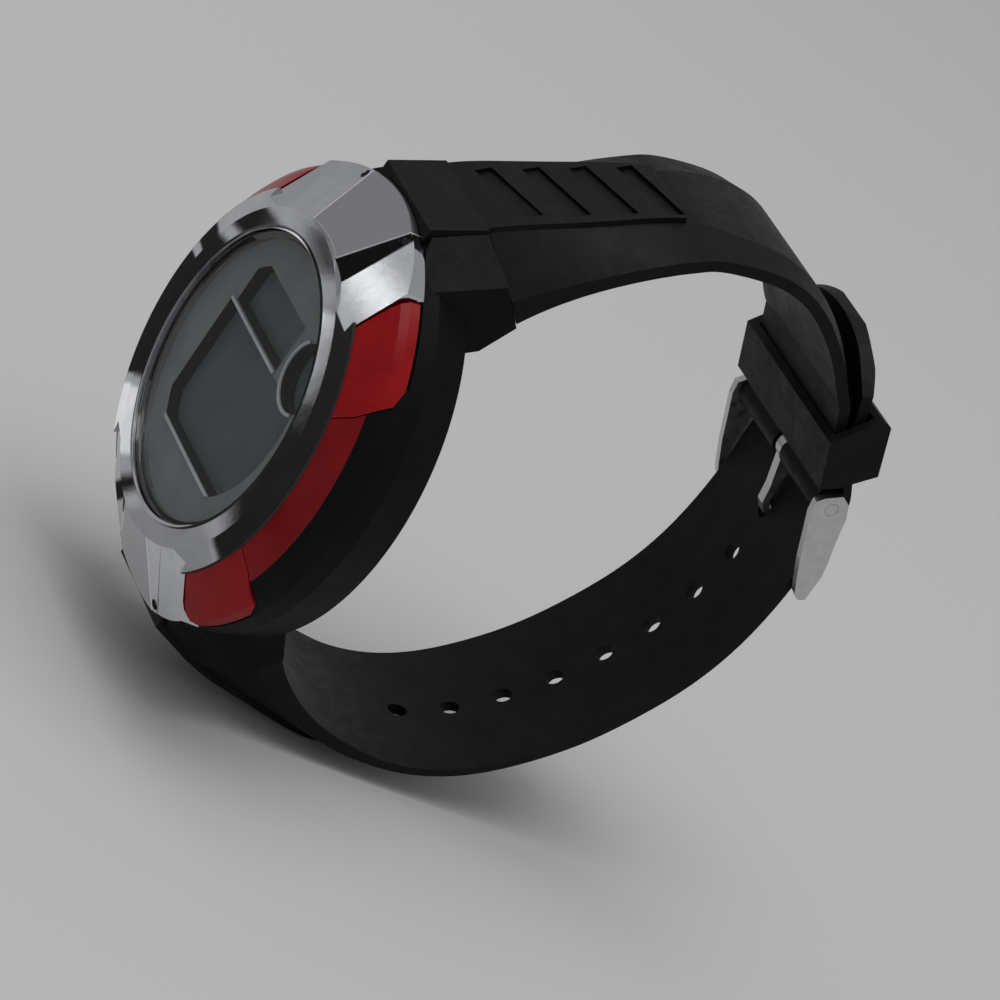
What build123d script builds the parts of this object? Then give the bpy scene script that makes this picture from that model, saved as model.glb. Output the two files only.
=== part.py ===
from build123d import *
import math
import os

# Lengths are in millimetres. X points to 3 o'clock, Z to 12 o'clock and Y into the wrist.
# Shapes are drawn with the bezel's lip at depth zero and moved so that the back cover's
# wrist face ends up at the origin.

# case and bezel, measured from the bezel's lip
case_depth = 14.6
crystal_bore = 17.0
lip_width = 2.6
lip_fall = 0.15
crease_width = 2.6
crease_fall = 0.6
cone_width = 4.2
cone_fall = 3.15
flange_thickness = 0.35
ring_wall_inset = 1.0
ledge_width = 0.65
ledge_depth = 1.8
ledge_thickness = 0.6
ring_foot_depth = 3.4
collar_inset = 3.2
shoulder_depth = 6.5
belly_bulge = 0.1
belly_depth = 8.6
foot_inset = 1.1
foot_depth = 13.3
heel_inset = 2.6
heel_depth = 14.1
band_top_inset = 1.5
band_foot_inset = 0.7
band_foot_depth = 4.3
skin_gap = 0.1
cut_margin = 1.0

# chrome end blocks, corners as x, height and depth
block_half_width = 14.0
block_start_height = 15.8
block_overlap = 0.8
block_end_radius = 23.6
block_end_bulge = 0.7
block_overrun = 0.25
panel_start = (3.9, 18.4, 0.1)
panel_end = (6.6, 26.2, 5.1)
facet_start = (7.3, 16.9, 0.2)
facet_end = (7.6, 24.6, 4.6)
facet_outer = (14.0, 22.5, 4.3)

# red inlays and push pads; outlines lie across the press direction, as across and depth
pad_press_angle = 50.0
pad_inner_inset = 0.15
pad_top_depth = 1.12
pad_slope_end = (25.8, 4.05)
pad_fold_end = (26.3, 4.95)
pad_foot_depth = 6.15
pad_skirt_inset = 2.2
pad_under_depth = 3.3
pad_seam = 0.12
pad_block_gap = 0.45
pad_lower_edge = ((-9.9, 2.6), (-8.6, 5.3), (-6.8, 6.15))
pad_far_edge = 20.0
sector_angle = 36.0
inlay_fit = 0.03
stem_radius = 0.7
stem_fit = 0.05
stem_depth = 5.2
stem_mid_x = 18.3
stem_mid_height = 18.0
stem_seat = 8.4
stem_flange_thickness = 0.5
stem_flange_radius = 1.15
stem_outer_gap = 0.4
flange_clearance = 0.15
flange_pocket_length = 2.0
seal_outer_radius = 1.35
seal_length = 0.8
seal_seat = 5.6

# glass, mask and display
crystal_fit = 0.08
crystal_edge_depth = 0.4
crystal_dome = 0.3
crystal_seal_thickness = 0.35
mask_clearance = 0.2
mask_thickness = 1.6
window_reach = 13.2
window_web = 0.5
main_window_left = 10.6
main_window_top = 4.4
main_window_bottom = 10.2
main_window_chamfer = 2.0
upper_window_left = 9.4
upper_window_bottom = 5.0
upper_window_top = 10.9
upper_window_right = 5.2
round_window_x = 10.6
round_window_height = 7.6
round_window_radius = 4.0
round_window_reach = 14.4
trim_rise = 0.25
trim_width = 0.35
divider_left = 10.3
divider_height = 4.7
display_half_width = 14.0
display_half_height = 11.4
display_corner_x = 9.8
display_corner_height = 5.6
display_thickness = 1.5
backlight_thickness = 0.4
backlight_width = 22.0
connector_length = 21.0
connector_width = 1.6
connector_centre_height = 10.2

# movement
frame_clearance = 0.3
frame_rear_wall = 1.1
board_clearance = 0.15
board_depth = 8.4
board_thickness = 0.8
pocket_clearance = 0.1
battery_radius = 10.0
battery_thickness = 2.5
clip_width = 7.0
clip_thickness = 0.3
clip_overhang = 1.6
contact_ring_width = 1.9
contact_ring_inset = 0.15
contact_thickness = 0.25
finger_width = 2.4
finger_reach = 0.7
finger_tip_depth = 4.4
finger_ear_length = 2.2
finger_slot_width = 3.0
finger_slot_length = 3.0
sounder_radius = 9.0
sounder_thickness = 0.35

# back cover
cover_fit = 0.1
cover_thickness = 1.4
cover_edge = 0.4
cover_step_inset = 5.5
cover_step_depth = 0.25
cover_seal_land = 0.4
cover_seal_width = 0.8
cover_seal_thickness = 0.5
screw_land = 1.4
screw_radius = 0.6
screw_head_radius = 1.05
screw_head_thickness = 0.6
screw_length = 4.5
screw_slot_width = 0.4
screw_slot_length = 1.5
screw_slot_depth = 0.3
screw_count = 4
screw_start_angle = 45.0

# dark pins at the ends of the folds beside the chrome centre panels
pin_x = 7.1
pin_height = 25.2
pin_radius = 0.5
pin_fit = 0.04
pin_front_depth = 5.2
pin_rear_depth = 6.2

# lugs, as height and depth in the side outline
lug_inner_x = 7.6
lug_outer_x = 12.6
lug_end_high = (29.9, 12.6)
lug_end_low = (23.3, 19.1)
lug_front = ((17.4, 6.6), (25.65, 6.6), (27.1, 7.0))
lug_back = ((19.2, 16.8), (17.4, 14.0))
lug_flank_upper = (7.0, 27.2, 6.4)
lug_flank_upper_end = (7.0, 30.1, 12.0)
lug_flank_lower_end = (12.6, 27.0, 15.0)
lug_slot_half_width = 7.6
lug_slot_height = 21.9
lug_bar_height = 25.0
lug_bar_depth = 12.6
lug_bar_radius = 0.9
lug_bar_tip_radius = 0.55
lug_bar_half_length = 10.4
lug_bar_fit = 0.04

# strap
strap_half_width = 11.5
strap_root_half_width = 11.9
tongue_side_gap = 0.15
root_gap = 0.12
root_front_height = 24.4
root_lip_depth = 6.3
root_lip_height = 27.6
root_rise = 2.2
strap_lug_gap = 0.25
panel_step = 0.7
strap_hole_radius = 1.15
strap_hole_pitch = 6.42
hole_count = 12
hole_first_height = 30.35
hole_first_depth = 44.6
wrap_radius = 1.75
groove_depth = 0.35
groove_width = 2.2
groove_length = 10.6
groove_start = 4.7
groove_spacing = 5.5
groove_count = 4
groove_slant = 14.0

# stations along each strap's wrist face: height, depth, edge thickness, middle thickness and
# half width of the middle; the lower strap's heights are drawn as positive and mirrored
root_shape = (3.0, 9.6, 7.0)
upper_panel_stations = ((27.2, 22.6, 2.1, 7.8, 6.8),
                        (30.0, 25.4, 1.7, 6.2, 6.6),
                        (33.9, 30.2, 1.5, 4.6, 6.2),
                        (37.2, 35.3, 1.4, 3.4, 5.6))
upper_tail_stations = ((37.2, 35.3, 1.4, 2.7, 5.6),
                       (38.9, 40.5, 1.35, 2.4, 6.8),
                       (39.35, 45.6, 1.35, 2.3, 7.6),
                       (38.5, 49.9, 1.35, 2.3, 8.2),
                       (36.7, 53.4, 1.35, 2.3, 8.6),
                       (34.3, 56.6, 1.35, 2.3, 8.8),
                       (31.8, 59.2, 1.35, 2.25, 9.0))
lower_panel_stations = ((26.6, 22.7, 2.1, 6.6, 6.8),
                        (28.6, 26.0, 1.7, 5.0, 6.6),
                        (30.3, 30.8, 1.5, 4.2, 6.2),
                        (31.1, 36.2, 1.2, 3.1, 5.6))
lower_tail_stations = ((31.1, 36.2, 1.2, 2.3, 5.6),
                       (31.1, 40.6, 1.0, 1.6, 7.2),
                       (30.1, 45.2, 0.95, 1.35, 8.4),
                       (28.0, 49.8, 0.95, 1.35, 9.0),
                       (24.3, 54.9, 0.95, 1.35, 9.0),
                       (19.7, 59.6, 0.95, 1.35, 9.0),
                       (14.6, 63.4, 0.95, 1.35, 9.0),
                       (8.9, 66.7, 0.95, 1.35, 9.0),
                       (2.6, 69.0, 0.95, 1.35, 9.0),
                       (-4.0, 70.1, 0.95, 1.35, 9.0),
                       (-10.2, 70.3, 0.95, 1.35, 9.0),
                       (-15.2, 70.1, 0.95, 1.35, 9.0))

# buckle, keeper and strap end; lengths and lifts follow the straight stretch from the buckle bar
buckle_bar_height = 18.6
buckle_bar_depth = 68.0
run_angle = 25.5
upper_strap_half_thickness = 1.1
upper_edge_thickness = 1.35
straight_middle_half_width = 9.0
straight_length = 12.6
run_stations = ((0.0, 1.95, 0.95, 1.35, 9.0),
                (2.6, 1.5, 1.1, 1.5, 9.0),
                (5.2, 1.3, 1.3, 1.8, 9.0),
                (8.6, 1.3, 1.3, 1.8, 9.0),
                (12.8, 1.3, 1.3, 1.8, 9.0),
                (15.8, 1.65, 1.3, 1.8, 9.0),
                (18.9, 2.3, 1.3, 1.8, 9.0))
tip_radius = 16.0
keeper_outline = ((2.9, -2.1), (9.0, -2.1), (9.7, -0.6), (11.6, 4.0), (10.7, 5.0), (4.2, 4.8), (2.9, 0.2))
keeper_opening_lift = 3.25
keeper_slack = 0.12
keeper_side_slack = 0.35
keeper_side_wall = 1.15
buckle_bar_radius = 0.75
buckle_bar_fit = 0.04
cheek_inner_x = 12.0
cheek_thickness = 1.0
cheek_outline = ((17.2, 65.9), (18.8, 65.6), (19.6, 66.4), (20.6, 68.3), (19.9, 69.6), (18.2, 70.5),
                 (15.1, 71.3), (12.6, 72.1), (10.6, 72.6), (7.2, 72.6), (6.9, 71.7), (7.5, 70.9),
                 (8.8, 70.1), (11.5, 68.6), (14.7, 67.1))
crossbar_height = 8.1
crossbar_depth = 72.32
crossbar_width = 2.0
crossbar_thickness = 0.55
prong_half_width = 0.7
prong_ring_radius = 1.5
prong_slot_half_width = 1.1
prong_slot_reach = 2.9
prong_outline = ((18.2, 69.3), (14.0, 69.5), (12.0, 69.6), (11.0, 70.2), (10.8, 71.6), (10.6, 72.7),
                 (10.1, 73.4), (6.4, 73.5), (5.9, 73.1), (6.3, 72.65), (9.3, 72.65), (9.75, 72.25),
                 (9.95, 71.0), (10.2, 69.9), (11.2, 69.0), (13.4, 68.6), (17.6, 67.2))

reach = 200.0

# sizes that follow from the ones above
lip_radius = crystal_bore + lip_width
crease_radius = lip_radius + crease_width
crease_depth = lip_fall + crease_fall
rim_radius = crease_radius + cone_width
rim_depth = crease_depth + cone_fall
ring_wall_radius = crease_radius - ring_wall_inset
ledge_bore = crystal_bore - ledge_width
cavity_radius = crystal_bore
collar_radius = rim_radius - collar_inset
band_top_radius = rim_radius - band_top_inset
band_foot_radius = rim_radius - band_foot_inset
block_end_centre = rim_radius + block_end_bulge - block_end_radius
pad_inner_radius = crease_radius - pad_inner_inset
pad_skirt_inner_radius = rim_radius - pad_skirt_inset
crystal_radius = crystal_bore - crystal_fit
crystal_seal_bore = ledge_bore
mask_radius = cavity_radius - mask_clearance
frame_radius = cavity_radius - frame_clearance
frame_rear_bore = frame_radius - frame_rear_wall
board_radius = frame_rear_bore - board_clearance
contact_ring_outer = board_radius - contact_ring_inset
contact_ring_inner = contact_ring_outer - contact_ring_width
cover_seal_inner = cavity_radius + cover_seal_land
cover_seal_outer = cover_seal_inner + cover_seal_width
screw_circle_radius = cover_seal_outer + screw_land
cover_radius = screw_circle_radius + screw_land
cover_step_radius = cover_radius - cover_step_inset
tongue_half_width = lug_slot_half_width - tongue_side_gap


def revolved(points):
    """Solid turned about the case axis from (radius, depth) points."""
    outline = Polyline(*[(radius, depth, 0) for radius, depth in points], close=True)
    return revolve(make_face(outline), Axis.Y, 360)


def dial_prism(points, front, rear):
    """Solid with an (x, height) outline between two depths."""
    outline = Polyline(*[(x, front, height) for x, height in points], close=True)
    return extrude(make_face(outline), amount=rear - front, dir=(0, 1, 0))


def side_prism(points, x_start, x_end):
    """Solid with a (height, depth) outline between two places along X."""
    outline = Polyline(*[(x_start, depth, height) for height, depth in points], close=True)
    return extrude(make_face(outline), amount=x_end - x_start, dir=(1, 0, 0))


def turned_disc(radius, front, rear, x=0, height=0):
    """Cylinder along Y between two depths."""
    disc = Cylinder(radius, rear - front)
    return Pos(x, (front + rear) / 2, height) * Rot(90, 0, 0) * disc


def cross_rod(radius, half_length, height, depth):
    """Cylinder along X."""
    return Pos(0, depth, height) * Rot(0, 90, 0) * Cylinder(radius, 2 * half_length)


def half_space(corners, kept):
    """Large box on one side of the plane through three (x, height, depth) corners."""
    first, second, third = [Vector(x, depth, height) for x, height, depth in corners]
    normal = (second - first).cross(third - first).normalized()
    if (Vector(*kept) - first).dot(normal) < 0:
        normal = normal * -1
    return Plane(origin=first, z_dir=normal) * Pos(0, 0, reach / 2) * Box(reach, reach, reach)


def behind(corners):
    """Half space on the wrist side of a plane."""
    return half_space(corners, (0, reach, 0))


def both_ends(shape):
    return shape + mirror(shape, Plane.XY)


def cone_depth(radius):
    """Depth of the chrome slope outside the crease."""
    rise = (rim_depth - crease_depth) / (rim_radius - crease_radius)
    return crease_depth + rise * (radius - crease_radius)


def beyond(start, end):
    """(x, height) past the end of a line, so that a prism reaches through the end wall."""
    return [last + (last - first) * block_overrun for first, last in zip(start[:2], end[:2])]


def end_prisms():
    """Centre panel, fold and side of the block toward 12 o'clock, before their faces are cut."""
    panel_far = beyond(panel_start, panel_end)
    facet_far = beyond(facet_start, facet_end)
    across, across_far = [(-corner[0], corner[1]) for corner in (panel_start, panel_far)]
    panel = (across, panel_start[:2], panel_far, across_far)
    fold = (panel_start[:2], facet_start[:2], facet_far, panel_far)
    side = (facet_start[:2], (block_half_width, block_start_height),
            (block_half_width, facet_far[1]), facet_far)
    return [dial_prism(outline, -cut_margin, shoulder_depth) for outline in (panel, fold, side)]


def end_room():
    """Room of the block toward 12 o'clock in the ring, outside the lip."""
    panel, fold, side = end_prisms()
    half = fold + side
    return panel + half + mirror(half, Plane.YZ) - turned_disc(lip_radius, -reach, reach)


def end_block():
    """Chrome block toward 12 o'clock: the centre panel, two folds and two side facets."""
    limit = rim_radius + skin_gap
    envelope = revolved(((crystal_bore, 0), (lip_radius, lip_fall), (crease_radius, crease_depth),
                         (limit, rim_depth), (reach, rim_depth), (reach, shoulder_depth),
                         (crystal_bore, shoulder_depth)))
    panel, fold, side = end_prisms()
    side = side & behind((facet_start, facet_end, facet_outer)) & envelope
    fold = fold & behind((panel_start, facet_start, panel_end))
    panel = panel & behind((panel_start, panel_end, (-panel_start[0],) + panel_start[1:]))
    half = side + fold
    block = panel + half + mirror(half, Plane.YZ)
    collar = revolved(((0, ring_foot_depth), (collar_radius + skin_gap, ring_foot_depth),
                       (collar_radius + skin_gap, reach), (0, reach)))
    bore = turned_disc(lip_radius - block_overlap, -reach, reach)
    end_limit = turned_disc(block_end_radius, -reach, reach, 0, block_end_centre)
    return (block & end_limit) - collar - bore


def pin_spots():
    return [(sx * pin_x, sz * pin_height) for sx in (-1, 1) for sz in (-1, 1)]


def bezel():
    ring = revolved(((crystal_bore, 0), (lip_radius, lip_fall), (crease_radius, crease_depth),
                     (crease_radius, crease_depth + flange_thickness),
                     (ring_wall_radius, crease_depth + flange_thickness), (ring_wall_radius, ring_foot_depth),
                     (cavity_radius, ring_foot_depth), (cavity_radius, ledge_depth + ledge_thickness),
                     (ledge_bore, ledge_depth + ledge_thickness), (ledge_bore, ledge_depth),
                     (crystal_bore, ledge_depth)))
    body = ring - both_ends(end_room()) + both_ends(end_block())
    for x, height in pin_spots():
        body -= turned_disc(pin_radius + pin_fit, 0, pin_rear_depth, x, height)
    return body


def bezel_pins():
    return [turned_disc(pin_radius, pin_front_depth, pin_rear_depth, x, height) for x, height in pin_spots()]


def press_direction():
    """Outward direction of the stem near 2 o'clock."""
    angle = math.radians(pad_press_angle)
    return Vector(math.cos(angle), 0, math.sin(angle))


def pad_passage(grow):
    """Bar along the press direction that bounds the pad near 2 o'clock, or its opening when grown."""
    corners = ((pad_lower_edge[0][0], -cut_margin),) + pad_lower_edge
    corners += ((pad_far_edge, pad_foot_depth), (pad_far_edge, -cut_margin))
    outline = make_face(Polyline(*[(across, -depth) for across, depth in corners], close=True))
    if grow:
        outline = offset(outline, amount=grow, kind=Kind.INTERSECTION)
    direction = press_direction()
    plane = Plane(origin=(0, 0, 0), x_dir=(-direction.Z, 0, direction.X), z_dir=direction)
    bar = plane * extrude(outline, amount=reach)
    edge = block_half_width + pad_block_gap - grow
    return bar & dial_prism(((edge, 0), (reach, 0), (reach, reach), (edge, reach)), -reach, reach)


def band_top_depth():
    """Depth of the red surface at the band's outer edge."""
    return cone_depth(band_top_radius) + crease_step()


def pad():
    """Push pad near 2 o'clock."""
    fold_radius = rim_radius
    shell = revolved(((pad_inner_radius, pad_top_depth), (crease_radius, pad_top_depth),
                      (band_top_radius, band_top_depth()), pad_slope_end, pad_fold_end,
                      (fold_radius, pad_foot_depth), (pad_skirt_inner_radius, pad_foot_depth),
                      (pad_skirt_inner_radius, pad_under_depth), (pad_inner_radius, pad_under_depth)))
    return shell & pad_passage(0) - stem_rod(stem_radius, -stem_inner_end(), -stem_outer_gap)


def crease_step():
    """Depth of the red surface below the chrome at the crease."""
    return pad_top_depth - crease_depth


def stem_inner_end():
    return stem_seat + stem_flange_thickness


def stem():
    body = stem_rod(stem_radius, -stem_inner_end(), -stem_outer_gap)
    return body + stem_rod(stem_flange_radius, -stem_inner_end(), -stem_seat)


def at_quarter(shape, sx, sz):
    if sx < 0 and sz < 0:
        return Rot(0, 180, 0) * shape
    if sx < 0:
        return mirror(shape, Plane.YZ)
    if sz < 0:
        return mirror(shape, Plane.XY)
    return shape


def stem_rod(radius, start, end):
    """Rod on the stem's axis, with start and end measured outward from the middle point."""
    direction = press_direction()
    base = Vector(stem_mid_x, stem_depth, stem_mid_height) + direction * start
    return Plane(origin=base, z_dir=direction) * Pos(0, 0, (end - start) / 2) * Cylinder(radius, end - start)


def side_sector():
    """Wedge of the dial that holds the red band and both seams on the 3 o'clock side."""
    angle = math.radians(sector_angle)
    far_x, far_height = reach * math.cos(angle), reach * math.sin(angle)
    return dial_prism(((0, 0), (far_x, far_height), (far_x, -far_height)), -cut_margin, reach)


def inlay():
    """Red band on the 3 o'clock side between the two pads."""
    top = band_top_depth()
    shell = revolved(((ring_wall_radius + inlay_fit, pad_top_depth), (crease_radius, pad_top_depth),
                      (band_top_radius, top), (band_top_radius, ring_foot_depth),
                      (ring_wall_radius + inlay_fit, ring_foot_depth)))
    opening = pad_passage(pad_seam)
    return (shell & side_sector()) - opening - mirror(opening, Plane.XY)


def lug():
    """Lug on the 3 o'clock side of the 12 o'clock end."""
    outline = lug_front + (lug_end_high, lug_end_low) + lug_back
    body = side_prism(outline, lug_inner_x, lug_outer_x)
    return body & behind((lug_flank_upper, lug_flank_upper_end, lug_flank_lower_end))


def four(shape):
    half = shape + mirror(shape, Plane.YZ)
    return half + mirror(half, Plane.XY)


def case_middle():
    rear = case_depth - cover_thickness
    core = revolved(((cavity_radius, ring_foot_depth), (collar_radius, ring_foot_depth),
                     (collar_radius, shoulder_depth), (rim_radius, shoulder_depth),
                     (rim_radius + belly_bulge, belly_depth), (rim_radius - foot_inset, foot_depth),
                     (rim_radius - heel_inset, heel_depth), (cover_radius + cover_fit, heel_depth),
                     (cover_radius + cover_fit, rear), (cavity_radius, rear)))
    inner = collar_radius - cut_margin
    bumper = revolved(((inner, ring_foot_depth), (band_top_radius, ring_foot_depth),
                       (band_foot_radius, band_foot_depth), (rim_radius, shoulder_depth),
                       (rim_radius, shoulder_depth + skin_gap), (inner, shoulder_depth + skin_gap)))
    opening = pad_passage(pad_seam) & revolved(((collar_radius, 0), (reach, 0), (reach, shoulder_depth),
                                                (collar_radius, shoulder_depth)))
    bumper = (bumper & side_sector()) - opening - mirror(opening, Plane.XY)
    body = core + bumper + mirror(bumper, Plane.YZ) + four(lug())
    slot = dial_prism(((-lug_slot_half_width, lug_slot_height), (lug_slot_half_width, lug_slot_height),
                       (lug_slot_half_width, reach), (-lug_slot_half_width, reach)), shoulder_depth, reach)
    body -= both_ends(slot)
    cavity = turned_disc(cavity_radius, ring_foot_depth - cut_margin, rear)
    recess = turned_disc(cover_radius + cover_fit, rear, reach)
    body -= cavity + recess
    body -= ring_between(cover_seal_inner - skin_gap, cover_seal_outer + skin_gap,
                         rear - cover_seal_thickness, reach)
    stem_bore = stem_rod(stem_radius + stem_fit, -stem_seat - cut_margin, 0)
    flange_seat = stem_rod(stem_flange_radius + flange_clearance,
                           -stem_seat - flange_pocket_length, -stem_seat)
    seal_bore = stem_rod(seal_outer_radius, -seal_seat, 0)
    inside = turned_disc(collar_radius + skin_gap, 0, shoulder_depth + skin_gap)
    body -= four((stem_bore + flange_seat + seal_bore) & inside)
    for sz in (-1, 1):
        body -= cross_rod(lug_bar_tip_radius, lug_bar_half_length, sz * lug_bar_height, lug_bar_depth)
    for x, height in cover_screw_spots():
        body -= turned_disc(screw_radius, rear - screw_length, reach, x, height)
    return body


def pusher_seals():
    ring = stem_rod(seal_outer_radius, -seal_seat, seal_length - seal_seat)
    ring -= stem_rod(stem_radius, -seal_seat - cut_margin, seal_length - seal_seat + cut_margin)
    return [at_quarter(ring, sx, sz) for sx in (-1, 1) for sz in (-1, 1)]


def lug_bar():
    """Spring bar at the 12 o'clock end."""
    body = cross_rod(lug_bar_radius, tongue_half_width, lug_bar_height, lug_bar_depth)
    return body + cross_rod(lug_bar_tip_radius, lug_bar_half_length, lug_bar_height, lug_bar_depth)


def cover_screw_spots():
    spots = []
    for index in range(screw_count):
        angle = math.radians(screw_start_angle + index * 360 / screw_count)
        spots.append((screw_circle_radius * math.cos(angle), screw_circle_radius * math.sin(angle)))
    return spots


def back_cover():
    front = case_depth - cover_thickness
    body = revolved(((0, front), (cover_radius, front), (cover_radius, case_depth - cover_edge),
                     (cover_radius - cover_edge, case_depth - cover_step_depth),
                     (cover_step_radius + cover_step_depth, case_depth - cover_step_depth),
                     (cover_step_radius, case_depth), (0, case_depth)))
    head_top = case_depth - cover_step_depth
    half_gap = skin_gap / 2
    for x, height in cover_screw_spots():
        body -= turned_disc(screw_head_radius + half_gap, head_top - screw_head_thickness, reach, x, height)
        body -= turned_disc(screw_radius + half_gap, front - cut_margin, reach, x, height)
    return body


def cover_screws():
    screws = []
    rear = case_depth - cover_thickness
    head_top = case_depth - cover_step_depth
    for x, height in cover_screw_spots():
        screw = turned_disc(screw_head_radius, head_top - screw_head_thickness, head_top, x, height)
        screw += turned_disc(screw_radius, rear - screw_length, head_top - screw_head_thickness, x, height)
        for length, width in ((screw_slot_length, screw_slot_width), (screw_slot_width, screw_slot_length)):
            screw -= Pos(x, head_top, height) * Box(length, 2 * screw_slot_depth, width)
        screws.append(screw)
    return screws


def crystal():
    edge = crystal_edge_depth
    foot = ledge_depth - crystal_seal_thickness
    dome_radius = (crystal_radius ** 2 + crystal_dome ** 2) / (2 * crystal_dome)
    dome = Pos(0, edge - crystal_dome + dome_radius, 0) * Sphere(dome_radius)
    return turned_disc(crystal_radius, edge - 2 * crystal_dome, foot) & dome


def ring_between(inner, outer, front, rear):
    return revolved(((inner, front), (outer, front), (outer, rear), (inner, rear)))


def crystal_gasket():
    return ring_between(crystal_seal_bore, crystal_radius, ledge_depth - crystal_seal_thickness, ledge_depth)


def cover_gasket():
    rear = case_depth - cover_thickness
    return ring_between(cover_seal_inner, cover_seal_outer, rear - cover_seal_thickness, rear)


def mask_front():
    return ledge_depth + ledge_thickness


def main_window():
    """(x, height) outline of the large window, before the rim of the dial cuts it."""
    left, bottom, chamfer = -main_window_left, -main_window_bottom, main_window_chamfer
    return ((left, main_window_top), (window_reach, main_window_top), (window_reach, bottom),
            (left + chamfer, bottom), (left, bottom + chamfer))


def mask_trim():
    """Thin raised lines: the divider, the arc of the round window and the foot of the large window."""
    rear = mask_front() + trim_rise
    front = mask_front() - trim_rise
    half = trim_width / 2
    low, high = divider_height - half, divider_height + half
    divider = dial_prism(((-divider_left, low), (upper_window_right, low),
                          (upper_window_right, high), (-divider_left, high)), front, rear)
    start, stop = front - cut_margin, rear + cut_margin
    arc = turned_disc(round_window_radius + trim_width, front, rear, round_window_x, round_window_height)
    arc -= turned_disc(round_window_radius, start, stop, round_window_x, round_window_height)
    arc = arc & turned_disc(window_reach, front, rear)
    foot = offset(make_face(Polyline(*[(x, front, height) for x, height in main_window()], close=True)),
                  amount=trim_width, kind=Kind.INTERSECTION)
    foot = extrude(foot, amount=2 * trim_rise, dir=(0, 1, 0)) & turned_disc(window_reach, front, rear)
    foot -= dial_prism(main_window(), start, stop)
    limit = main_window_chamfer - main_window_bottom
    below = dial_prism(((-reach, limit), (reach, limit), (reach, -reach), (-reach, -reach)), front, rear)
    return divider + arc + (foot & below)


def dial_mask():
    front = mask_front()
    rear = front + mask_thickness
    start, stop = front - cut_margin, rear + cut_margin
    sweep = turned_disc(window_reach, start, stop)
    main = sweep & dial_prism(main_window(), start, stop)
    low, high = upper_window_bottom, upper_window_top
    upper = sweep & dial_prism(((-upper_window_left, low), (upper_window_right, low),
                                (upper_window_right, high), (-upper_window_left, high)), start, stop)
    guard = turned_disc(round_window_radius + window_web, start, stop, round_window_x, round_window_height)
    window = turned_disc(round_window_radius, start, stop, round_window_x, round_window_height)
    window = window & turned_disc(round_window_reach, start, stop)
    body = turned_disc(mask_radius, front, rear) - (main - guard) - (upper - guard) - window
    return body + mask_trim()


def display_front():
    return mask_front() + mask_thickness


def display_octagon(grow, front, rear):
    half_width = display_half_width + grow
    half_height = display_half_height + grow
    corner_x = display_corner_x + grow / 2
    corner_height = display_corner_height + grow / 2
    quarter = ((half_width, corner_height), (corner_x, half_height))
    left = tuple((-x, height) for x, height in reversed(quarter))
    upper = quarter + left
    lower = tuple((x, -height) for x, height in reversed(upper))
    return dial_prism(upper + lower, front, rear)


def display():
    return display_octagon(0, display_front(), display_front() + display_thickness)


def backlight_height():
    return 2 * connector_centre_height - connector_width - 4 * pocket_clearance


def backlight():
    front = display_front() + display_thickness
    sheet = Box(backlight_width, backlight_thickness, backlight_height())
    return Pos(0, front + backlight_thickness / 2, 0) * sheet


def connectors():
    front = display_front() + display_thickness
    strips = []
    for sz in (-1, 1):
        strip = Box(connector_length, board_depth - front, connector_width)
        strips.append(Pos(0, (front + board_depth) / 2, sz * connector_centre_height) * strip)
    return strips


def finger_box(width, length, front, rear, gap):
    """Box across the stem's axis, its outer face a gap inward of the stem's inner end."""
    direction = press_direction()
    middle = Vector(stem_mid_x, 0, stem_mid_height)
    centre = middle - direction * (stem_inner_end() + gap + length / 2)
    block = Box(length, rear - front, width)
    return Pos(centre.X, (front + rear) / 2, centre.Z) * Rot(0, -pad_press_angle, 0) * block


def finger_slots(front, rear):
    return four(finger_box(finger_slot_width, finger_slot_length, front, rear,
                           finger_reach + contact_thickness + pocket_clearance - finger_slot_length))


def module_frame():
    front = display_front()
    rear = case_depth - cover_thickness
    light_front = front + display_thickness
    body = turned_disc(frame_radius, front, rear)
    body -= turned_disc(frame_rear_bore, board_depth, rear + cut_margin)
    body -= display_octagon(pocket_clearance, front - cut_margin, light_front)
    light_pocket = Box(backlight_width + 2 * pocket_clearance, 2 * backlight_thickness,
                       backlight_height() + 2 * pocket_clearance)
    body -= Pos(0, light_front, 0) * light_pocket
    for sz in (-1, 1):
        strip = Box(connector_length + 2 * pocket_clearance, board_depth - front,
                    connector_width + 2 * pocket_clearance)
        body -= Pos(0, (front + board_depth) / 2, sz * connector_centre_height) * strip
    body -= finger_slots(front - cut_margin, board_depth + board_thickness + 2 * contact_thickness)
    return body - four(finger_box(finger_slot_width, finger_ear_length, board_depth, rear, finger_reach))


def circuit_board():
    body = turned_disc(board_radius, board_depth, board_depth + board_thickness)
    return body - finger_slots(0, case_depth)


def contact_front():
    return board_depth + board_thickness


def contact_springs():
    front = contact_front()
    ring = ring_between(contact_ring_inner, contact_ring_outer, front, front + contact_thickness)
    rear = front + contact_thickness
    finger = finger_box(finger_width, contact_thickness, finger_tip_depth, rear, finger_reach)
    ear = finger_box(finger_width, finger_ear_length, front, rear, finger_reach)
    return ring + four(finger + ear)


def battery():
    front = contact_front()
    return turned_disc(battery_radius, front, front + battery_thickness)


def battery_clip():
    front = contact_front()
    rear = front + battery_thickness
    span = battery_radius + clip_overhang
    strip = Pos(0, rear + clip_thickness / 2, 0) * Box(2 * span, clip_thickness, clip_width)
    leg = Box(clip_thickness, rear - front, clip_width)
    leg = Pos(span - clip_thickness / 2, (front + rear) / 2, 0) * leg
    return strip + leg + mirror(leg, Plane.YZ)


def sounder():
    rear = case_depth - cover_thickness
    return turned_disc(sounder_radius, rear - sounder_thickness, rear)


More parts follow.
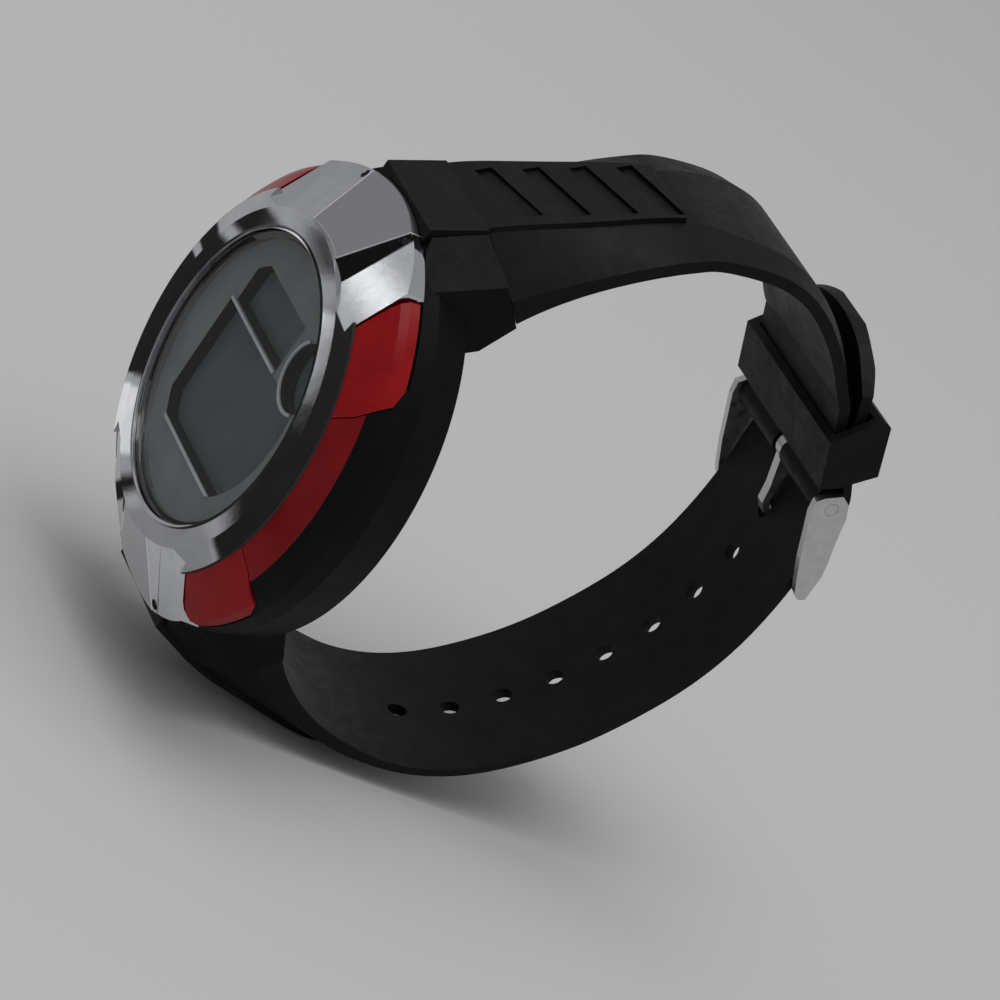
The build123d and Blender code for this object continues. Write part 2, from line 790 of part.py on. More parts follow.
def with_normals(stations):
    """Stations with the outward normal, as (depth, height) parts, after their place."""
    result = []
    for index, station in enumerate(stations):
        before = stations[max(index - 1, 0)]
        after = stations[min(index + 1, len(stations) - 1)]
        run = Vector(after[0] - before[0], after[1] - before[1]).normalized()
        result.append((station[0], station[1], -run.X, run.Y) + tuple(station[2:]))
    return result


def root_station():
    """First station, parallel to the lug's end face and a gap away from it."""
    run = Vector(lug_end_high[0] - lug_end_low[0], lug_end_high[1] - lug_end_low[1]).normalized()
    height, depth = lug_end_low[0] - run.Y * strap_lug_gap, lug_end_low[1] + run.X * strap_lug_gap
    return (height, depth, run.Y, run.X) + root_shape


def walk(corners, first_step, pitch, count):
    """(height, depth, normal) at equal steps along a line of (height, depth) corners."""
    places = []
    left = first_step
    for first, second in zip(corners, corners[1:]):
        length = math.dist(first, second)
        run = Vector(0, second[1] - first[1], second[0] - first[0]).normalized()
        while left <= length and len(places) < count:
            share = left / length
            height, depth = [start + (end - start) * share for start, end in zip(first, second)]
            places.append((height, depth, Vector(0, -run.Z, run.Y)))
            left += pitch
        left -= length
    return places


def section(station, half_width, step):
    """Strap section; the middle stands above the flanks by the step."""
    height, depth, out_depth, out_height, edge, middle, middle_half = station
    right = [(half_width, 0), (half_width, edge), (middle_half, middle - step)]
    if step:
        right.append((middle_half, middle))
    left = [(-x, rise) for x, rise in reversed(right)]
    corners = [(x, depth + rise * out_depth, height + rise * out_height) for x, rise in right + left]
    return make_face(Polyline(*corners, close=True))


def run_point(length, lift):
    """(height, depth) at a distance along the straight run and above its middle line."""
    angle = math.radians(run_angle)
    height = buckle_bar_height + length * math.cos(angle) + lift * math.sin(angle)
    depth = buckle_bar_depth - length * math.sin(angle) + lift * math.cos(angle)
    return height, depth


def strap_root(first):
    """Tongue of the strap between the lugs at the 12 o'clock end."""
    height, depth, out_depth, out_height = first[:4]
    middle = first[5]
    gap = root_gap
    outline = ((lug_slot_height + gap, shoulder_depth + gap), (root_front_height, shoulder_depth + gap),
               (root_front_height, root_lip_depth), (root_lip_height, root_lip_depth),
               (height + middle * out_height, depth + middle * out_depth), (height, depth),
               (lug_slot_height + gap, depth - root_rise))
    root = side_prism(outline, -tongue_half_width, tongue_half_width)
    root -= turned_disc(block_end_radius + gap, -reach, shoulder_depth + gap, 0, block_end_centre)
    return root - cross_rod(lug_bar_radius + lug_bar_fit, reach, lug_bar_height, lug_bar_depth)


def panel_loft(path, count):
    """Raised panel at the lug end of a strap."""
    faces = [section(station, strap_half_width, panel_step) for station in path[:count]]
    faces[0] = section(path[0], strap_root_half_width, panel_step)
    return loft(faces)


def grooves(path):
    """Shallow slanted grooves across the raised panel."""
    top = [(height + shape[1] * out_height, depth + shape[1] * out_depth)
           for height, depth, out_depth, out_height, *shape in path]
    cuts = []
    for height, depth, normal in walk(top, groove_start, groove_spacing, groove_count):
        plane = Plane(origin=(0, depth, height), x_dir=(1, 0, 0), z_dir=normal)
        cuts.append(plane * Rot(0, 0, groove_slant) * Box(groove_length, groove_width, 2 * groove_depth))
    return cuts


def upper_path():
    end = run_point(straight_length, -upper_strap_half_thickness)
    last = run_point(0, -upper_strap_half_thickness)
    shape = (upper_edge_thickness, 2 * upper_strap_half_thickness, straight_middle_half_width)
    stations = upper_panel_stations[:-1] + upper_tail_stations + (end + shape, last + shape)
    return [root_station()] + with_normals(stations)


def panel_stretch(path, stations):
    """The path's stations along the raised panel; the last gets the panel's own thickness."""
    count = len(stations) + 1
    return path[:count - 1] + [path[count - 1][:4] + stations[-1][2:]]


def upper_strap():
    path = upper_path()
    panel_path = panel_stretch(path, upper_panel_stations)
    count = len(panel_path)
    panel = panel_loft(panel_path, count)
    end = path[-1][:4]
    curve_end = path[-2][:2] + end[2:] + path[-2][4:]
    tail = loft([section(station, strap_half_width, 0) for station in path[count - 1:-2] + [curve_end]])
    straight = loft([section(station, strap_half_width, 0) for station in (curve_end, path[-1])])
    wrap = cross_rod(wrap_radius, strap_half_width, buckle_bar_height, buckle_bar_depth)
    body = panel + tail + straight + wrap + strap_root(path[0])
    for cut in grooves(panel_path):
        body -= cut
    body -= cross_rod(buckle_bar_radius, reach, buckle_bar_height, buckle_bar_depth)
    body -= Pos(0, buckle_bar_depth, buckle_bar_height) * Rot(-run_angle, 0, 0) * Box(
        2 * prong_slot_half_width, 2 * prong_slot_reach, 2 * prong_slot_reach)
    return body


def lower_path():
    run = []
    for length, lift, edge, middle, half in run_stations:
        height, depth = run_point(length, lift)
        run.append((-height, depth, edge, middle, half))
    stations = lower_panel_stations[:-1] + lower_tail_stations + tuple(run)
    return [root_station()] + with_normals(stations)


def hole_places():
    """(height, depth, normal) of each strap hole, at equal steps along the wrist face."""
    path = lower_path()
    index = len(lower_panel_stations)
    while path[index][1] < hole_first_depth:
        index += 1
    corners = [(hole_first_height, hole_first_depth)] + [station[:2] for station in path[index:]]
    return walk(corners, 0, strap_hole_pitch, hole_count)


def lower_strap():
    path = lower_path()
    panel_path = panel_stretch(path, lower_panel_stations)
    count = len(panel_path)
    body = panel_loft(panel_path, count) + strap_root(path[0])
    body += loft([section(station, strap_half_width, 0) for station in path[count - 1:]])
    for height, depth, normal in hole_places():
        plane = Plane(origin=(0, depth, height), z_dir=normal)
        body -= plane * Cylinder(strap_hole_radius, 2 * prong_slot_reach)
    return mirror(body, Plane.XY) - tip_waste()


def tip_waste():
    """What the rounded free end of the lower strap leaves out."""
    angle = math.radians(run_angle)
    normal = Vector(0, math.cos(angle), math.sin(angle))
    last_length, last_lift = run_stations[-1][:2]
    height, depth = run_point(last_length - tip_radius, last_lift)
    plane = Plane(origin=(0, depth, height), x_dir=(1, 0, 0), z_dir=normal)
    side = 2 * tip_radius
    waste = Pos(0, -side / 2, 0) * Box(2 * side, side, side) - Cylinder(tip_radius, side)
    return plane * waste


def keeper():
    outline = [run_point(length, lift) for length, lift in keeper_outline]
    half_opening = strap_half_width + keeper_side_slack
    half_width = half_opening + keeper_side_wall
    body = side_prism(outline, -half_width, half_width)
    low = -upper_strap_half_thickness - keeper_slack
    high = keeper_opening_lift
    corners = [run_point(-reach, low), run_point(reach, low), run_point(reach, high), run_point(-reach, high)]
    return body - side_prism(corners, -half_opening, half_opening)


def buckle_frame():
    cheek = side_prism(cheek_outline, cheek_inner_x, cheek_inner_x + cheek_thickness)
    crossbar = Box(2 * cheek_inner_x + cheek_thickness, crossbar_thickness, crossbar_width)
    crossbar = Pos(0, crossbar_depth, crossbar_height) * crossbar
    body = cheek + mirror(cheek, Plane.YZ) + crossbar
    return body - cross_rod(buckle_bar_radius + buckle_bar_fit, reach, buckle_bar_height, buckle_bar_depth)


def buckle_prong():
    arm = side_prism(prong_outline, -prong_half_width, prong_half_width)
    body = arm + cross_rod(prong_ring_radius, prong_half_width, buckle_bar_height, buckle_bar_depth)
    return body - cross_rod(buckle_bar_radius + buckle_bar_fit, reach, buckle_bar_height, buckle_bar_depth)


def buckle_bar():
    return cross_rod(buckle_bar_radius, cheek_inner_x + cheek_thickness, buckle_bar_height, buckle_bar_depth)


parts = {
    "case_middle": case_middle(),
    "bezel": bezel(),
    "bezel_pins": bezel_pins(),
    "crystal": crystal(),
    "crystal_gasket": crystal_gasket(),
    "dial_mask": dial_mask(),
    "display": display(),
    "backlight": backlight(),
    "connector_strips": connectors(),
    "module_frame": module_frame(),
    "circuit_board": circuit_board(),
    "contact_springs": contact_springs(),
    "battery": battery(),
    "battery_clip": battery_clip(),
    "sounder": sounder(),
    "back_cover": back_cover(),
    "cover_gasket": cover_gasket(),
    "cover_screws": cover_screws(),
    "inlay_right": inlay(),
    "inlay_left": mirror(inlay(), Plane.YZ),
    "pusher_seals": pusher_seals(),
    "lug_bar_upper": lug_bar(),
    "lug_bar_lower": mirror(lug_bar(), Plane.XY),
    "strap_upper": upper_strap(),
    "strap_lower": lower_strap(),
    "keeper": keeper(),
    "buckle_frame": buckle_frame(),
    "buckle_prong": buckle_prong(),
    "buckle_bar": buckle_bar(),
}
for hour, sx, sz in ((2, 1, 1), (4, 1, -1), (8, -1, -1), (10, -1, 1)):
    parts[f"pad_{hour}"] = at_quarter(pad(), sx, sz)
    parts[f"stem_{hour}"] = at_quarter(stem(), sx, sz)

os.makedirs("parts", exist_ok=True)
for name, shape in parts.items():
    solids = [Pos(0, -case_depth, 0) * solid for solid in (shape if isinstance(shape, list) else [shape])]
    node = solids[0] if len(solids) == 1 else Compound(children=solids)
    print(name, len(node.solids()), round(node.volume, 1), node.is_valid)
    export_step(node, f"parts/{name}.step")
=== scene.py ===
import math

import bpy
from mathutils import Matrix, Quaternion, Vector


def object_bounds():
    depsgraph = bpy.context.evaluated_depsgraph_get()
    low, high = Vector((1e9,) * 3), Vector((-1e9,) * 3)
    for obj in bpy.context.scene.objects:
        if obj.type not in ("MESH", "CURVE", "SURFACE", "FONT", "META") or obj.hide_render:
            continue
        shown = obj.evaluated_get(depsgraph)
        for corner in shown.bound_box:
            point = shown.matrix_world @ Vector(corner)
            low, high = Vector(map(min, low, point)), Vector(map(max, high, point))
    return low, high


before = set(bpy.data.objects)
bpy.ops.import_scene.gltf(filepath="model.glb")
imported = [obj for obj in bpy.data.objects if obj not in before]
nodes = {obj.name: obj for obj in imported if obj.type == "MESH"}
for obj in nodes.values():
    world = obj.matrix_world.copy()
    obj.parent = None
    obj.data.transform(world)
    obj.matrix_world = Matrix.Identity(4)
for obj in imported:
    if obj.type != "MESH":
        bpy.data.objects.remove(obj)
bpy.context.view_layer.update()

# Places on the bezel and the dial that the materials follow, in metres; the last is the share of a
# face's normal that points forward, below which the face is one of the window walls and is painted
# near-black as shade
PANEL_TAPER = 0.346
PANEL_EDGE = -0.00247
PANEL_START = 0.01965
# Width of the thin pale line of painted highlight along each centre panel's fold
FOLD_HIGHLIGHT_WIDTH = 0.00012
# Radius and width of the thin dark line of painted shade in the crease where the chrome meets the
# red band
CREASE_SHADE_RADIUS = 0.0222
CREASE_SHADE_WIDTH = 0.00005
BLOCK_SIDE = 0.014
RING_BORE = 0.017
RIM_ROUND = 0.00045
RIM_RISE = 0.0003
BLEND = 0.0001
LINE_PLANE = -0.01225
SHADE_WALL_TURN = 0.5

# The crystal, in millimetres
CRYSTAL_RADIUS = 17.0
CRYSTAL_DOME = 0.3
CRYSTAL_PLANE = -14.6

# Studio: levels of the floor and the cards, the glow of three cards, and the heights of the
# cards over the floor and the distance of the upright one, in millimetres
DARK = 0.02
GREY = 0.12
MIDDLE = 0.43
WHITE = 0.85
FLOOR_LEVEL = 0.61
LIP_GLOW = 1.8
FOOT_GLOW = 0.22
LEFT_GLOW = 0.35
CARD_LIFT = 1.0
DIAL_CARD_LIFT = 1.4
FAR_CARD = 600.0


# Material helpers

class Shader:
    """Small helper round one material's node tree."""

    def __init__(self, name):
        self.material = bpy.data.materials.new(name)
        self.material.use_nodes = True
        self.tree = self.material.node_tree
        self.tree.nodes.clear()
        self.output = self.add("ShaderNodeOutputMaterial")
        self.coords = self.add("ShaderNodeTexCoord")

    def add(self, kind, **values):
        node = self.tree.nodes.new(kind)
        for key, value in values.items():
            if hasattr(node, key):
                setattr(node, key, value)
            else:
                node.inputs[key].default_value = value
        return node

    def link(self, source, target):
        self.tree.links.new(source, target)

    def principled(self, **values):
        node = self.add("ShaderNodeBsdfPrincipled")
        for key, value in values.items():
            node.inputs[key].default_value = value
        self.link(node.outputs[0], self.output.inputs[0])
        return node

    def noise(self, scale, detail=4.0, roughness=0.5, distortion=0.0, stretch=None):
        node = self.add("ShaderNodeTexNoise")
        node.inputs["Scale"].default_value = scale
        node.inputs["Detail"].default_value = detail
        node.inputs["Roughness"].default_value = roughness
        node.inputs["Distortion"].default_value = distortion
        source = self.coords.outputs["Object"]
        if stretch:
            mapping = self.add("ShaderNodeMapping")
            mapping.inputs["Scale"].default_value = stretch
            self.link(source, mapping.inputs[0])
            source = mapping.outputs[0]
        self.link(source, node.inputs["Vector"])
        return node.outputs[0]

    def ramp(self, source, stops):
        node = self.add("ShaderNodeValToRGB")
        elements = node.color_ramp.elements
        while len(elements) < len(stops):
            elements.new(0.5)
        for element, (place, color) in zip(elements, stops):
            element.position = place
            element.color = color if len(color) == 4 else (*color, 1.0)
        self.link(source, node.inputs[0])
        return node.outputs[0]

    def range(self, source, low, high, start=0.0, end=1.0):
        node = self.add("ShaderNodeMapRange")
        node.inputs["From Min"].default_value = start
        node.inputs["From Max"].default_value = end
        node.inputs["To Min"].default_value = low
        node.inputs["To Max"].default_value = high
        self.link(source, node.inputs["Value"])
        return node.outputs[0]

    def math(self, operation, first, second=None, third=None):
        node = self.add("ShaderNodeMath", operation=operation)
        for index, value in enumerate((first, second, third)):
            if value is None:
                continue
            if isinstance(value, (int, float)):
                node.inputs[index].default_value = value
            else:
                self.link(value, node.inputs[index])
        return node.outputs[0]

    def mix(self, factor, first, second):
        node = self.add("ShaderNodeMix", data_type="RGBA")
        for index, value in ((0, factor), (6, first), (7, second)):
            if isinstance(value, tuple):
                node.inputs[index].default_value = value if len(value) == 4 else (*value, 1.0)
            elif isinstance(value, (int, float)):
                node.inputs[index].default_value = value
            else:
                self.link(value, node.inputs[index])
        return node.outputs[2]

    def bump(self, height, strength, distance, target, base=None):
        node = self.add("ShaderNodeBump")
        node.inputs["Strength"].default_value = strength
        node.inputs["Distance"].default_value = distance
        self.link(height, node.inputs["Height"])
        if base is not None:
            self.link(base, node.inputs["Normal"])
        self.link(node.outputs[0], target)
        return node.outputs[0]


def resin(name, low, high, rough_low, rough_high, grain, specular):
    """Black moulded resin with a fine grain, soft blotches and a few rubbed marks."""
    s = Shader(name)
    bsdf = s.principled(**{"Specular IOR Level": specular})
    blotch = s.noise(170.0, 5.0, 0.6, 0.4)
    s.link(s.ramp(blotch, ((0.32, low), (0.7, high))), bsdf.inputs["Base Color"])
    rub = s.noise(420.0, 6.0, 0.65, 0.8)
    s.link(s.range(rub, rough_low, rough_high, 0.3, 0.7), bsdf.inputs["Roughness"])
    fine = s.noise(grain, 3.0, 0.6)
    wave = s.noise(110.0, 2.0, 0.5)
    base = s.bump(wave, 0.16, 0.0012, bsdf.inputs["Normal"])
    s.bump(fine, 0.12, 0.0001, bsdf.inputs["Normal"], base)
    return s.material


def chrome(name):
    """Mirror plating with faint haze, and a satin finish on the raised centre panels; a thin pale
    line of painted highlight runs along each panel's fold, and a thin dark line of painted shade
    lies in the crease by the red band.
    """
    s = Shader(name)
    bsdf = s.principled(Metallic=1.0)
    haze = s.noise(260.0, 5.0, 0.6, 0.5)
    spot = s.add("ShaderNodeSeparateXYZ")
    s.link(s.coords.outputs["Object"], spot.inputs[0])
    across = s.math("ABSOLUTE", spot.outputs[0])
    up = s.math("ABSOLUTE", spot.outputs[2])
    beside = s.math("MULTIPLY_ADD", up, PANEL_TAPER, PANEL_EDGE)
    into_panel = s.math("SUBTRACT", beside, across)
    inside = s.range(into_panel, 0.0, 1.0, 0.0, BLEND)
    plan = s.add("ShaderNodeCombineXYZ")
    s.link(spot.outputs[0], plan.inputs[0])
    s.link(spot.outputs[2], plan.inputs[2])
    from_axis = s.add("ShaderNodeVectorMath", operation="LENGTH")
    s.link(plan.outputs[0], from_axis.inputs[0])
    radius = from_axis.outputs["Value"]
    outer = s.range(radius, 0.0, 1.0, PANEL_START, PANEL_START + BLEND)
    satin = s.math("MULTIPLY", inside, outer)
    # A thin pale line along the panel fold: painted highlight, standing in for light caught on a
    # rounded rim
    edge_highlight = s.math("MULTIPLY", s.math("COMPARE", into_panel, 0.0, FOLD_HIGHLIGHT_WIDTH), outer)
    # A thin dark line in the crease beside the red band, out past the end blocks: painted shade
    crease_shade = s.math("MULTIPLY", s.math("COMPARE", radius, CREASE_SHADE_RADIUS, CREASE_SHADE_WIDTH),
                  s.math("GREATER_THAN", across, BLOCK_SIDE))
    brushed = s.noise(1500.0, 4.0, 0.6, 0.0, (14.0, 1.0, 1.0))
    polished = s.ramp(haze, ((0.3, (0.52, 0.53, 0.55)), (0.7, (0.62, 0.63, 0.65))))
    dull = s.ramp(brushed, ((0.3, (0.37, 0.36, 0.38)), (0.7, (0.46, 0.45, 0.48))))
    face = s.mix(satin, polished, dull)
    # Lays the painted highlight of the fold line over the face colour
    face_and_highlight = s.mix(edge_highlight, face, (0.92, 0.93, 0.95))
    # Lays the thin dark line of painted crease shade over that
    s.link(s.mix(crease_shade, face_and_highlight, (0.06, 0.055, 0.055)), bsdf.inputs["Base Color"])
    fine = s.range(haze, 0.012, 0.032, 0.3, 0.75)
    rough = s.math("MULTIPLY_ADD", satin, 0.26, fine)
    rough = s.math("MULTIPLY_ADD", s.math("MAXIMUM", edge_highlight, crease_shade), 0.3, rough)
    s.link(rough, bsdf.inputs["Roughness"])
    inner = s.range(radius, 0.0, 1.0, RING_BORE, RING_BORE + RIM_ROUND)
    rolled = s.bump(s.math("POWER", inner, 0.5), 1.0, RIM_RISE, bsdf.inputs["Normal"])
    s.bump(brushed, 0.05, 0.00004, bsdf.inputs["Normal"], rolled)
    return s.material


def red_plastic(name, low, high):
    """Glossy moulded red with slight tone changes and shallow waves."""
    s = Shader(name)
    bsdf = s.principled(**{"Specular IOR Level": 0.15, "Coat Weight": 0.06, "Coat Roughness": 0.12})
    tone = s.noise(300.0, 5.0, 0.6, 0.4)
    s.link(s.ramp(tone, ((0.3, low), (0.7, high))), bsdf.inputs["Base Color"])
    s.link(s.range(tone, 0.24, 0.38, 0.3, 0.7), bsdf.inputs["Roughness"])
    s.bump(s.noise(500.0, 3.0, 0.5), 0.08, 0.0002, bsdf.inputs["Normal"])
    return s.material


def mask_plastic(name):
    """Dark dial mask; its raised lines in front of the face are pale, and the walls of its windows
    are painted near-black as the shade inside the recesses.
    """
    s = Shader(name)
    bsdf = s.principled(**{"Specular IOR Level": 0.3})
    tone = s.noise(220.0, 4.0, 0.6, 0.2)
    dark = s.ramp(tone, ((0.3, (0.16, 0.168, 0.174)), (0.7, (0.21, 0.219, 0.226))))
    line = s.ramp(tone, ((0.3, (0.42, 0.44, 0.46)), (0.7, (0.52, 0.54, 0.56))))
    spot = s.add("ShaderNodeSeparateXYZ")
    s.link(s.coords.outputs["Object"], spot.inputs[0])
    raised = s.math("LESS_THAN", spot.outputs[1], LINE_PLANE)
    facing = s.add("ShaderNodeSeparateXYZ")
    s.link(s.coords.outputs["Normal"], facing.inputs[0])
    # Window walls, faces turned away from the front, are painted near-black as the shade inside the
    # recesses
    wall_shade = s.math("LESS_THAN", s.math("ABSOLUTE", facing.outputs[1]), SHADE_WALL_TURN)
    tone_and_wall_shade = s.mix(wall_shade, dark, (0.006, 0.006, 0.007))
    s.link(s.mix(raised, tone_and_wall_shade, line), bsdf.inputs["Base Color"])
    s.link(s.range(tone, 0.34, 0.5, 0.3, 0.7), bsdf.inputs["Roughness"])
    s.bump(tone, 0.02, 0.0001, bsdf.inputs["Normal"])
    return s.material


def metal(name, color, rough, stretch=(1.0, 1.0, 1.0)):
    """Bare metal with a fine finish; a stretch draws the finish out into brush lines."""
    s = Shader(name)
    bsdf = s.principled(Metallic=1.0)
    tone = s.noise(900.0, 4.0, 0.6, 0.2, stretch)
    dark = tuple(c * 0.82 for c in color)
    s.link(s.ramp(tone, ((0.3, dark), (0.7, color))), bsdf.inputs["Base Color"])
    s.link(s.range(tone, rough * 0.75, rough * 1.25, 0.3, 0.7), bsdf.inputs["Roughness"])
    s.bump(tone, 0.1, 0.00005, bsdf.inputs["Normal"])
    return s.material


def plastic(name, color, rough, scale=600.0, spread=0.8, relief=0.08):
    """Plain moulded or sheet piece whose tone drifts between a darker and the given colour."""
    s = Shader(name)
    bsdf = s.principled()
    tone = s.noise(scale, 4.0, 0.6, 0.2)
    dark = tuple(c * spread for c in color)
    s.link(s.ramp(tone, ((0.3, dark), (0.7, color))), bsdf.inputs["Base Color"])
    s.link(s.range(tone, rough * 0.85, rough * 1.15, 0.3, 0.7), bsdf.inputs["Roughness"])
    s.bump(tone, relief, 0.00006, bsdf.inputs["Normal"])
    return s.material


def glass(name):
    """Clear crystal that lets light through to the dial, with faint cloudy smudges."""
    s = Shader(name)
    bsdf = s.add("ShaderNodeBsdfPrincipled")
    for key, value in (("Roughness", 0.0), ("IOR", 1.45), ("Transmission Weight", 1.0)):
        bsdf.inputs[key].default_value = value
    smudge = s.noise(150.0, 5.0, 0.65, 0.8)
    tint = s.ramp(smudge, ((0.3, (0.84, 0.87, 0.87)), (0.7, (0.97, 0.98, 0.98))))
    s.link(tint, bsdf.inputs["Base Color"])
    clear = s.add("ShaderNodeBsdfTransparent")
    path = s.add("ShaderNodeLightPath")
    mixer = s.add("ShaderNodeMixShader")
    passing = s.math("MAXIMUM", path.outputs["Is Shadow Ray"], path.outputs["Is Diffuse Ray"])
    s.link(passing, mixer.inputs[0])
    s.link(bsdf.outputs[0], mixer.inputs[1])
    s.link(clear.outputs[0], mixer.inputs[2])
    s.link(mixer.outputs[0], s.output.inputs[0])
    return s.material


def dress(names, material):
    for name in names:
        mesh = nodes[name].data
        mesh.materials.clear()
        mesh.materials.append(material)


steel = metal("brushed_steel", (0.6, 0.6, 0.61), 0.3, (1.0, 1.0, 12.0))
seal = plastic("seal_rubber", (0.03, 0.03, 0.03), 0.6)
dress(["case_middle"],
      resin("case_resin", (0.0016, 0.0017, 0.0019), (0.0034, 0.0036, 0.004),
            0.4, 0.55, 5200.0, 0.11))
dress(["strap_upper", "strap_lower", "keeper"],
      resin("strap_resin", (0.0022, 0.0025, 0.003), (0.005, 0.0056, 0.0068),
            0.42, 0.58, 4200.0, 0.14))
dress(["bezel"], chrome("bezel_chrome"))
dress(["bezel_pins"], plastic("pin_dark", (0.02, 0.02, 0.02), 0.5))
dress(["pad_2", "pad_4", "pad_8", "pad_10"],
      red_plastic("red_pad", (0.24, 0.0018, 0.0036), (0.33, 0.0035, 0.0055)))
# The band gets a darker red than the pads as painted shade: it is the same red plastic, lying where
# less light falls
dress(["inlay_right", "inlay_left"],
      red_plastic("red_band_painted_shade", (0.17, 0.0012, 0.003), (0.24, 0.0025, 0.0045)))
dress(["crystal"], glass("crystal_glass"))
dress(["dial_mask"], mask_plastic("mask_dark"))
dress(["display"], plastic("display_glass", (0.104, 0.122, 0.13), 0.55, 95.0, 0.68, 0.0))
dress(["backlight"], plastic("light_sheet", (0.75, 0.8, 0.72), 0.5))
dress(["connector_strips"], plastic("connector_pink", (0.7, 0.35, 0.4), 0.6))
dress(["module_frame"], plastic("frame_grey", (0.12, 0.12, 0.13), 0.5))
dress(["circuit_board"], plastic("board_green", (0.03, 0.2, 0.08), 0.4))
dress(["contact_springs", "battery_clip"], metal("spring_sheet", (0.68, 0.67, 0.64), 0.3))
dress(["battery"], metal("cell_can", (0.7, 0.7, 0.7), 0.25))
dress(["sounder"], metal("brass_disc", (0.75, 0.58, 0.28), 0.3))
dress(["back_cover", "cover_screws", "lug_bar_upper", "lug_bar_lower",
       "stem_2", "stem_4", "stem_8", "stem_10"], steel)
dress(["crystal_gasket", "cover_gasket", "pusher_seals"], seal)
dress(["buckle_frame", "buckle_prong", "buckle_bar"],
      metal("buckle_satin", (0.62, 0.62, 0.61), 0.34))

# Camera, floor and light

camera_data = bpy.data.cameras.new("camera")
camera_data.lens = 180.0
camera_data.sensor_width = 36.0
camera_data.clip_start = 0.01
camera_data.clip_end = 20.0
camera = bpy.data.objects.new("camera", camera_data)
bpy.context.scene.collection.objects.link(camera)
camera.rotation_mode = "QUATERNION"
camera.location = (0.43318, -0.28196, 0.18333)
camera.rotation_quaternion = Quaternion((0.575582, 0.571306, 0.097039, 0.576974))
bpy.context.scene.camera = camera

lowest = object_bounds()[0][2]
bpy.ops.mesh.primitive_plane_add(size=6.0, location=(0.0, 0.0, lowest))
floor = bpy.context.object
floor.name = "floor"


def pale(name, level, glow=0.0):
    """Plain matte board for the floor and the cards; a glow makes it a soft light source."""
    s = Shader(name)
    s.principled(**{"Base Color": (level, level, level, 1.0), "Roughness": 0.9,
                    "Specular IOR Level": 0.1, "Emission Color": (1.0, 1.0, 1.0, 1.0),
                    "Emission Strength": glow})
    return s.material


floor.data.materials.append(pale("floor_pale", FLOOR_LEVEL))


def card(name, corners, level, glow=0.0):
    """Flat studio card, seen only in reflections; corners in millimetres."""
    mesh = bpy.data.meshes.new(name)
    points = [Vector(corner) / 1000 for corner in corners]
    mesh.from_pydata(points, [], [tuple(range(len(points)))])
    piece = bpy.data.objects.new(name, mesh)
    bpy.context.scene.collection.objects.link(piece)
    mesh.materials.append(pale(name, level, glow))
    piece.visible_camera = False
    piece.visible_diffuse = False
    piece.visible_shadow = False


def floor_card(name, outline, level, glow=0.0):
    height = 1000 * lowest + CARD_LIFT
    card(name, [(x, y, height) for x, y in outline], level, glow)


floor_card("dark_near", ((12, -37), (-3, -41), (-20, -46), (-45, -58), (-64, -74), (-76, -87),
                         (-89, -96.5), (-104, -106.5), (-120, -115), (-142, -136),
                         (-1300, -1080), (-700, -1500), (60, -700), (40, -60)), DARK)
floor_card("white_lip", ((-82, -91), (-89, -96), (-104, -106), (-120, -114.5), (-134, -122.5),
                         (-132, -116.5), (-116, -108.5), (-101, -101), (-90, -94.5)), WHITE,
           LIP_GLOW)
floor_card("dark_side", ((-66, -12), (-68, -43), (-98, -60), (-128, -78), (-140, -88),
                         (-138, -16)), DARK)
floor_card("dark_corner", ((-147, -20), (-148, -94), (-168, -108), (-173, -28)), DARK)
floor_card("dark_top", ((-150, -124), (-156, -137), (-178, -136), (-175, -123)), DARK)
floor_card("dark_streak", ((-38, -33), (-34, -33), (-26, -19), (-28, 0), (-32, 0),
                           (-31, -18)), DARK)
floor_card("grey_foot", ((-33, -46), (-20, -44.5), (-4, -40), (4, -20), (-6, -21), (-12, -19.5),
                         (-23.5, -13.5)), MIDDLE)
floor_card("pale_foot", ((-23.4, -13), (-12, -19), (-6, -20.5), (4, -19.5), (4, -5),
                         (-21, -5)), MIDDLE, FOOT_GLOW)
floor_card("white_left", ((-64, -40), (-43, -38), (-41, -10), (-62, -10)), WHITE,
           LEFT_GLOW)


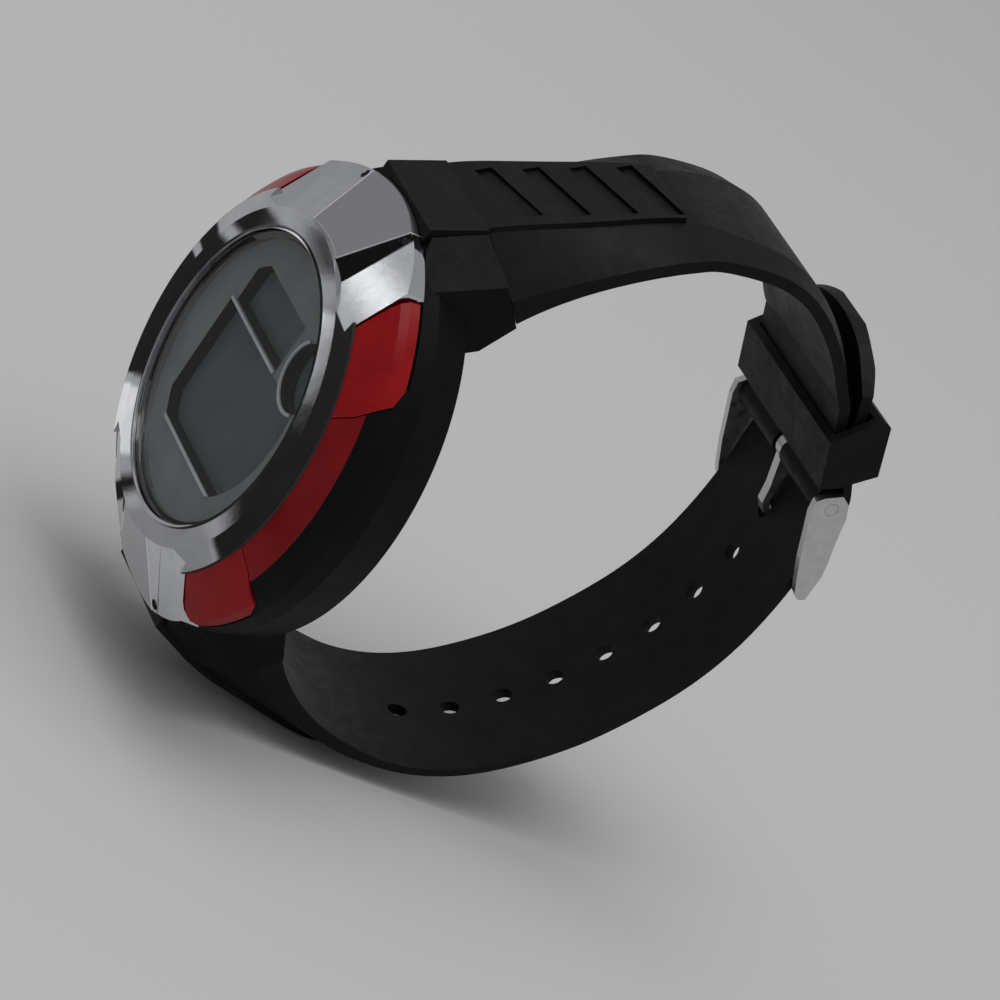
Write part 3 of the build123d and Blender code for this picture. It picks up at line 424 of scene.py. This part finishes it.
def dial_card():
    """Grey card whose reflection fills the domed crystal but for a crescent at 9 o'clock."""
    middle_x, radius, points = 0.9, 16.4, 48
    ground = 1000 * lowest + DIAL_CARD_LIFT
    lean = 2 * CRYSTAL_DOME / CRYSTAL_RADIUS ** 2
    corners = []
    for step in range(points):
        turn = math.tau * step / points
        x, z = middle_x + radius * math.cos(turn), radius * math.sin(turn)
        spot = Vector((x, CRYSTAL_PLANE, z))
        normal = Vector((lean * x, -1.0, lean * z)).normalized()
        ray = (spot - 1000 * camera.location).reflect(normal)
        corners.append(spot + ray * ((ground - z) / ray.z))
    card("grey_dial", corners, GREY)


def fold_card():
    """Dark upright card that the folds beside the centre panel reflect."""
    corners = []
    for turn, rise in ((-127, 8), (-104, 8), (-104, 40), (-127, 40)):
        turn, rise = math.radians(turn), math.radians(rise)
        across = FAR_CARD * math.cos(rise)
        corners.append((across * math.cos(turn), across * math.sin(turn),
                        FAR_CARD * math.sin(rise)))
    card("dark_upright", corners, DARK)


dial_card()
fold_card()

world = bpy.data.worlds.new("world")
bpy.context.scene.world = world
world.use_nodes = True
sky = world.node_tree.nodes["Background"]
sky.inputs[0].default_value = (0.97, 0.98, 1.0, 1.0)
sky.inputs[1].default_value = 0.4


def lamp(name, place, target, side, power):
    """Square area lamp that faces its target; lengths in metres, power in watts."""
    data = bpy.data.lights.new(name, "AREA")
    data.shape = "SQUARE"
    data.size = side
    data.energy = power
    light = bpy.data.objects.new(name, data)
    bpy.context.scene.collection.objects.link(light)
    light.location = place
    light.rotation_mode = "QUATERNION"
    light.rotation_quaternion = (Vector(target) - Vector(place)).to_track_quat("-Z", "Y")


lamp("overhead", (0.1, -0.1, 1.2), (0.0, 0.0, 0.0), 1.0, 6.8)
lamp("side", (-0.374, -0.42, 0.239), (0.01, -0.012, 0.02), 0.16, 0.014)
lamp("spot", (-0.366, -0.412, 0.235), (0.012, -0.0125, 0.019), 0.009, 0.0009)

bpy.context.scene.view_settings.view_transform = "Standard"
